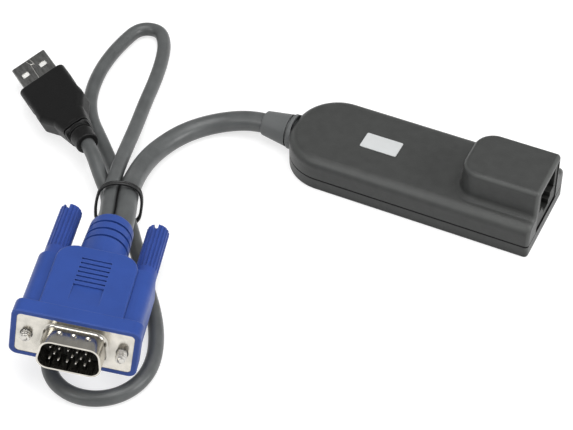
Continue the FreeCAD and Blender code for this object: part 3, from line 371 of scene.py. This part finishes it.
# %% [markdown]
# ## Dress the CAD nodes
#
# The model's record gives each node a material slot. The node keeps its mesh, and only its slot's finish changes, so
# the shapes stay as they are. The pins share the screws' slot, but they stand close together in a dark mouth, so they
# have a finish of their own with more shade between them.

# %% Assign finishes
SLOTS = {part["node"]: part["material_slot"] for part in frame["record"]["subparts"]}
OWN_FINISH = {"vga_pins": "pin_metal"}     # pieces that share a slot but look different: the pins get more painted shade
for name, piece in NODES.items():
    piece.data.materials.clear()
    piece.data.materials.append(FINISH[OWN_FINISH.get(name, SLOTS[name])])
print("dressed", len(NODES), "nodes")

# %% [markdown]
# ## The two cables
#
# A cable is one flexible length, so it is one smooth spline with a round bevel and not a chain of bent pieces. The
# spline is a quadratic NURBS curve: it touches the middle of each span of its control polygon and rounds each corner
# between, which is how a soft jacket takes a bend. The trunk cable is 6.1 mm thick and leaves the case's strain relief,
# sinks to the table, and climbs over the bundle into the plug. The thin cable is 4.3 mm thick. It leaves the plug's
# boot, runs out to a tight far loop that is pinched by hand, comes back under the tie and the plug, and turns round
# in a wider near loop to climb into the USB grip.

# %% Cable routes
TRUNK_DIA, THIN_DIA = 6.1 * MM, 4.3 * MM
RELIEF_TIP, RELIEF_Z = -49.45, 5.5 # where the trunk cable leaves the case's strain relief: x and height, in mm
BOOT_END, USB_TIP = -47.0, -33.2   # back faces of the video plug's boot and of the USB grip, each in its plug's frame
SEAT = 4.0                         # a cable reaches this far into its gland
RELIEF_RUN, BOOT_RUN, GRIP_RUN = 3.2, 5.0, 2.5     # and leaves it straight, with its next point this far out
LOW = 2.25                         # height of the thin cable's middle where it lies on the table
BOOT_TRUNK_Y, BOOT_THIN_Y = 2.6, -2.65
PRESSED_Y = -2.5                   # the soft jackets press together where they leave the boot


def in_metres(*points):
    """Points in millimetres as points in metres."""
    return [tuple(v * MM for v in p) for p in points]


TRUNK_ROUTE = [
    *in_metres((RELIEF_TIP + SEAT, 0, RELIEF_Z), (RELIEF_TIP - RELIEF_RUN, 0, RELIEF_Z), (-63.6, -3.6, 3.3),
               (-71.1, -12.2, 3.2), (-74.7, -23.6, 3.6), (-73.8, -34.6, 5.6), (-70.15, -46.5, 8.8)),
    on_plug(VIDEO, BOOT_END - BOOT_RUN, BOOT_TRUNK_Y), on_plug(VIDEO, BOOT_END + SEAT, BOOT_TRUNK_Y),
]
THIN_ROUTE = [
    on_plug(VIDEO, BOOT_END + SEAT, PRESSED_Y), on_plug(VIDEO, BOOT_END - BOOT_RUN, PRESSED_Y),
    *in_metres((-73.65, -50.5, 10.3), (-77.6, -40.4, 8.3), (-81.6, -28.4, 5.6), (-85.2, -15.8, 3.6),
               (-88.6, -4.4, 2.5), (-91.0, 6.0, LOW), (-93.6, 15.0, LOW), (-97.0, 23.3, LOW),
               (-101.7, 28.5, LOW), (-108.2, 26.6, LOW), (-109.5, 18.4, LOW), (-109.7, 9.6, LOW),
               (-108.6, 0.6, LOW), (-105.5, -9.3, LOW), (-100.3, -17.6, LOW), (-92.1, -25.1, LOW),
               (-83.25, -33.55, LOW), (-74.8, -42.9, 3.0), (-67.5, -51.7, 4.0), (-59.2, -61.2, 2.5),
               (-51.2, -70.7, LOW), (-44.3, -78.5, LOW), (-39.1, -86.3, LOW), (-35.9, -94.0, LOW),
               (-35.5, -101.2, LOW), (-38.5, -107.7, LOW), (-44.2, -111.8, LOW), (-51.2, -112.7, LOW),
               (-58.1, -109.9, LOW), (-63.0, -103.1, LOW), (-64.9, -92.0, LOW), (-67.9, -79.2, LOW),
               (-70.7, -68.2, 2.3), (-72.2, -60.4, 3.1), (-73.5, -53.2, 4.8), (-76.6, -47.0, 5.2),
               (-81.6, -42.7, 7.0)),
    on_plug(USB, USB_TIP - GRIP_RUN), on_plug(USB, USB_TIP + SEAT),
]
print("control points: trunk", len(TRUNK_ROUTE), "and thin cable", len(THIN_ROUTE))

# %% Make the cables
def new_object(name, data):
    """An object with this data, linked to the scene."""
    piece = bpy.data.objects.new(name, data)
    bpy.context.scene.collection.objects.link(piece)
    return piece


def cable(name, route, diameter, node):
    """One open quadratic NURBS spline through its end points, with a round bevel of half the diameter."""
    data = bpy.data.curves.new(name, "CURVE")
    data.dimensions = "3D"
    data.resolution_u = 10
    data.bevel_mode = "ROUND"
    data.bevel_depth = diameter / 2
    data.bevel_resolution = 8
    data.use_fill_caps = True
    spline = data.splines.new("NURBS")
    spline.points.add(len(route) - 1)
    for point, place in zip(spline.points, route):
        point.co = (*place, 1.0)
    spline.order_u = 3             # order 3 is degree 2, a quadratic curve
    spline.use_endpoint_u = True
    data.materials.append(FINISH["cable_jacket"])
    piece = new_object(name, data)
    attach(piece, "adapter")
    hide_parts(node)
    print(name, "length mm", round(1000 * spline.calc_length(), 1))
    return piece


trunk = cable("trunk_cord", TRUNK_ROUTE, TRUNK_DIA, "trunk_cable")
thin = cable("thin_cord", THIN_ROUTE, THIN_DIA, "thin_cable")

# %% [markdown]
# ## What a cable is, besides its shape
#
# A simulation would need facts that a mesh doesn't hold: where the cable leaves its gland, how long and how stiff it
# is, and what hangs on its end. The strain relief, the tie and the whole video plug go with the trunk, and the USB plug
# goes with the thin cable. These facts are not set down here; both cables are attached to the body named adapter.

# %% [markdown]
# ## Threads on the jackscrews
#
# The two captive screws are size 4-40, so their thread is 2.84 mm across with a pitch of 0.635 mm. CAD leaves them
# smooth. The Screw modifier could wind a profile round, but it leaves two open ends to close by hand. So each screw
# is one surface of revolution whose radius also depends on the angle: one turn of the angle moves the thread's
# profile along by one pitch, and that alone makes a true helix.

# %% Skins of round pieces
def closed_skin(rows, around):
    """Quads of a grid whose rows close on themselves: point (row, column) has the number row * around + column."""
    row, column = np.meshgrid(np.arange(rows - 1), np.arange(around), indexing="ij")
    following = (column + 1) % around
    return np.stack([row * around + column, row * around + following, (row + 1) * around + following,
                     (row + 1) * around + column], axis=-1).reshape(-1, 4).tolist()


def mesh_piece(name, points, faces, material):
    """A mesh object with one material, whose place is in its mesh."""
    mesh = bpy.data.meshes.new(name)
    mesh.from_pydata(points, [], faces)
    mesh.materials.append(material)
    return new_object(name, mesh)


def laid(place, points):
    """Points of a plug's own frame in millimetres as points of the part in metres: rotation * p / 1000 + shift."""
    matrix = np.array(place)
    return (points * MM @ matrix[:3, :3].T + matrix[:3, 3]).tolist()


print("a grid of 3 rows of 4 points has", len(closed_skin(3, 4)), "quads")

# %% Jackscrews
PITCH, THREAD_DEEP = 0.635, 0.36                             # millimetres, as are all lengths here
SHANK_R, NECK_R, POINT_R = 1.42, 1.05, 0.92                  # radii of the shank and the thread, the neck and the tip
SHANK_X, NECK_X, THREAD_X, TIP_X = -26.0, -6.6, -1.8, 3.0    # where shank, neck and thread start, and the tip
POINT_SLOPE = 0.85                                           # radius gained per millimetre behind the tip
ROWS_PER_PITCH, AROUND = 12, 36
CREST_SLOPE, CREST_CUT = 1.5, 0.2                            # steepness and narrowing of the thread's trapezoid wave
SCREW_STOPS = {"left": (-12.495, 1.0), "right": (12.495, 0.0)}   # place across the plug, and how far it has slid back


def screw_profile(slide):
    """Stations along the screw: x, radius of the bare rod there, and 1 where the thread is cut.

    Towards the tip the rod tapers: radius = POINT_R + POINT_SLOPE * distance from the tip, at most SHANK_R.
    """
    plain_x = np.array([SHANK_X, NECK_X, NECK_X, THREAD_X]) - slide
    plain_r = np.array([SHANK_R, SHANK_R, NECK_R, NECK_R])
    rows = int(round((TIP_X - THREAD_X) / PITCH * ROWS_PER_PITCH))
    cut_x = np.linspace(THREAD_X, TIP_X, rows) - slide
    cut_r = np.minimum(SHANK_R, POINT_R + POINT_SLOPE * (TIP_X - slide - cut_x))
    return (np.concatenate([plain_x, cut_x]), np.concatenate([plain_r, cut_r]),
            np.concatenate([np.zeros(len(plain_x)), np.ones(rows)]))


def jackscrew(side):
    """Radius = rod - depth * (1 - crest), where crest is a trapezoid wave of x / pitch - angle / full turn.

    The wave is CREST_SLOPE * triangle - CREST_CUT, held between 0 and 1. Each end closes in a fan of triangles.
    """
    y0, slide = SCREW_STOPS[side]
    x, rod, cut = screw_profile(slide)
    angle = np.arange(AROUND) * 2 * np.pi / AROUND
    phase = (x[:, None] / PITCH - angle[None, :] / (2 * np.pi)) % 1.0
    crest = np.clip(CREST_SLOPE * (1 - 2 * np.abs(phase - 0.5)) - CREST_CUT, 0.0, 1.0)
    radius = rod[:, None] - THREAD_DEEP * cut[:, None] * (1 - crest)
    rings = np.stack([np.broadcast_to(x[:, None], radius.shape), y0 + radius * np.cos(angle),
                      radius * np.sin(angle)], axis=-1).reshape(-1, 3)
    centres = np.array([[x[0], y0, 0.0], [x[-1], y0, 0.0]])
    first, after = np.arange(AROUND), (np.arange(AROUND) + 1) % AROUND
    last = len(rings) - AROUND
    back_cap = np.stack([after, first, np.full(AROUND, len(rings))], axis=-1).tolist()
    tip_cap = np.stack([last + first, last + after, np.full(AROUND, len(rings) + 1)], axis=-1).tolist()
    piece = mesh_piece(side + "_threaded_screw", laid(VIDEO, np.concatenate([rings, centres])),
                       closed_skin(len(x), AROUND) + back_cap + tip_cap, FINISH["screw_steel"])
    piece.data.shade_smooth()
    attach(piece, side + "_thumbscrew")
    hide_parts(side + "_jackscrew")
    print(piece.name, "faces", len(piece.data.polygons))


for side in SCREW_STOPS:
    jackscrew(side)

# %% [markdown]
# ## The seam of the USB shell
#
# The shell is rolled from one strip of steel, and the two ends meet in a seam along the middle of its upper face. Near
# the mouth a flared tab from one end is locked into the other. CAD cuts the seam itself. Along it the shell shows a
# bright line, which is a highlight. It could be a stripe in the steel's finish, but then the mesh alone wouldn't show
# it. So it is a thin raised strip: a flat path with a low triangular section, sunk a little into the shell so that no
# gap shows. Its steel is paler than the shell's, which paints the highlight into its colour.

# %% USB seam
SEAM_HALF, SEAM_PROUD, SEAM_SUNK = 0.13, 0.05, 0.05      # half width, height above and depth below the face, in mm
FACE_Z = 2.25                                            # upper face of the shell in the plug's frame
SEAM_LINES = {
    "usb_seam": [(0.1, 0.42), (2.5, 0.32), (6.0, 0.22), (9.3, 0.12), (10.2, 0.35), (11.9, 0.80)],
    "usb_seam_tab": [(9.3, 0.12), (8.9, -0.55), (8.5, -0.95), (9.6, -0.85), (11.9, -0.50)],
}


def seam_strip(name, corners):
    """Section (left foot, crest, right foot) at each corner of a path: foot = corner +- half width * its normal.

    The normal at a corner is square to the direction from the corner before to the one after. Each end closes in
    one triangle.
    """
    path = np.array(corners)
    along = np.gradient(path, axis=0)
    along /= np.linalg.norm(along, axis=1)[:, None]
    across = np.stack([-along[:, 1], along[:, 0]], axis=1) * SEAM_HALF
    left = np.column_stack([path + across, np.full(len(path), FACE_Z - SEAM_SUNK)])
    crest = np.column_stack([path, np.full(len(path), FACE_Z + SEAM_PROUD)])
    right = np.column_stack([path - across, np.full(len(path), FACE_Z - SEAM_SUNK)])
    sections = np.stack([left, crest, right], axis=1).reshape(-1, 3)
    end = len(sections) - 3
    piece = mesh_piece(name, laid(USB, sections), closed_skin(len(path), 3) + [(2, 1, 0), (end, end + 1, end + 2)],
                       FINISH["seam_steel"])
    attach(piece, "adapter")
    print(name, "faces", len(piece.data.polygons))


for name, corners in SEAM_LINES.items():
    seam_strip(name, corners)

# %% [markdown]
# ## Table and sky
#
# The table is a plain white sheet that keeps a soft shadow. More light could make it white, but would bleach the
# object as well. So it glows instead, only for the camera and in mirrors, and the object keeps its own tone. The sky
# is brightest at the horizon and dims towards the top, as a light tent does: rounded edges and metal pick up the
# bright rim, and flat tops stay dark.

# %% Table and sky
TABLE_HALF = 3.0
PAPER_TONE, PAPER_GLOW = 0.45, 0.68        # what the paper reflects, and what it adds where it is seen
RIM_HEIGHT, TOP_HEIGHT = 0.02, 0.40        # upward part of a direction at which the sky starts and stops dimming
RIM_GLOW, TOP_GLOW = 0.62, 0.32            # strength of the sky below the first and above the second


def white_ground(name, tone, glow):
    """Diffuse white that also glows for the camera, for mirrors and through glass, so it reads as white paper.

    Glow = glow * the largest of camera ray, glossy ray and transmission ray, each of which is 0 or 1.
    """
    material, tree = new_material(name)
    ray = add(tree, "LightPath").outputs
    seen = add(tree, "Math", {0: ray["Is Camera Ray"], 1: ray["Is Glossy Ray"]}, operation="MAXIMUM").outputs[0]
    seen = add(tree, "Math", {0: seen, 1: ray["Is Transmission Ray"]}, operation="MAXIMUM").outputs[0]
    strength = add(tree, "Math", {0: seen, 1: glow}, operation="MULTIPLY").outputs[0]
    paper = add(tree, "BsdfDiffuse", {"Color": (tone, tone, tone, 1.0)}).outputs[0]
    shine = add(tree, "Emission", {"Color": (1.0, 1.0, 1.0, 1.0), "Strength": strength}).outputs[0]
    both = add(tree, "AddShader", {0: paper, 1: shine}).outputs[0]
    add(tree, "OutputMaterial", {"Surface": both})
    return material


table = mesh_piece("table", [(-TABLE_HALF, -TABLE_HALF, 0), (TABLE_HALF, -TABLE_HALF, 0),
                             (TABLE_HALF, TABLE_HALF, 0), (-TABLE_HALF, TABLE_HALF, 0)], [(0, 1, 2, 3)],
                   white_ground("white_paper", PAPER_TONE, PAPER_GLOW))

world = bpy.data.worlds.new("studio")
bpy.context.scene.world = world
world.use_nodes = True
sky = world.node_tree
sky.nodes.clear()
height = add(sky, "SeparateXYZ", {0: add(sky, "TexCoord").outputs["Generated"]}).outputs[2]
dimmed = add(sky, "MapRange", {0: height, 1: RIM_HEIGHT, 2: TOP_HEIGHT, 3: RIM_GLOW, 4: TOP_GLOW}).outputs[0]
backdrop = add(sky, "Background", {"Color": (1.0, 1.0, 1.0, 1.0), "Strength": dimmed}).outputs[0]
add(sky, "OutputWorld", {"Surface": backdrop})
print("table", 2 * TABLE_HALF, "m across, sky from", RIM_GLOW, "at the rim to", TOP_GLOW, "overhead")

# %% [markdown]
# ## Soft boxes
#
# Three soft boxes do the rest. A broad one overhead gives the tops their tone. One in front, to the left, draws the
# light band along the case's near edge. One low on the right makes the socket end the brightest face of the case.
# With the sky they light a level surface to a little above the tone it is written in, its sheen included.

# %% Soft boxes
AIM = Vector((-0.04, -0.04, 0.0))
SOFT_BOXES = {                             # place, length of a side and watts
    "overhead_box": ((0.10, -0.05, 0.85), 0.7, 5.6),
    "front_box": ((-0.33, -0.68, 0.57), 0.35, 1.8),
    "right_box": ((0.72, 0.05, 0.34), 0.35, 3.2),
}


def soft_box(name, at, side, watts):
    """Square area lamp, turned so that its -Z axis looks at the aim point."""
    lamp = bpy.data.lights.new(name, "AREA")
    lamp.shape = "SQUARE"
    lamp.size = side
    lamp.energy = watts
    piece = new_object(name, lamp)
    piece.location = at
    piece.rotation_euler = (AIM - Vector(at)).to_track_quat("-Z", "Y").to_euler()


for name, (at, side, watts) in SOFT_BOXES.items():
    soft_box(name, at, side, watts)
print("soft boxes:", {name: watts for name, (_, _, watts) in SOFT_BOXES.items()})

# %% [markdown]
# ## Camera
#
# A long lens, looking down at about 45 degrees, shows the deck, the near side and the socket end together and keeps
# the far parts from shrinking. The camera is placed by its own axes: the columns of its matrix are its right, its up
# and its backward direction, and then its place.

# %% Camera
EYE = Vector((0.126531, -0.336489, 0.348363))
RIGHT = Vector((0.89905, 0.43765, -0.01357))
UP = Vector((-0.30201, 0.64226, 0.70448))
VIEW = Vector((-0.31703, 0.62926, -0.70959))
FRAME_WIDTH, FOCAL = 573, 1700.0     # frame width and focal length in the same unit
lens = bpy.data.cameras.new("camera")
lens.sensor_width = 36.0
lens.sensor_fit = "HORIZONTAL"
lens.lens = lens.sensor_width * FOCAL / FRAME_WIDTH
lens.clip_start, lens.clip_end = 0.01, 20
camera = new_object("camera", lens)
camera.matrix_world = Matrix.Translation(EYE) @ Matrix((RIGHT, UP, -VIEW)).transposed().to_4x4()
bpy.context.scene.camera = camera
bpy.context.scene.view_settings.view_transform = "Standard"
print("camera lens mm", round(lens.lens, 1), "looking down at", round(math.degrees(math.asin(-VIEW.z)), 1), "degrees")
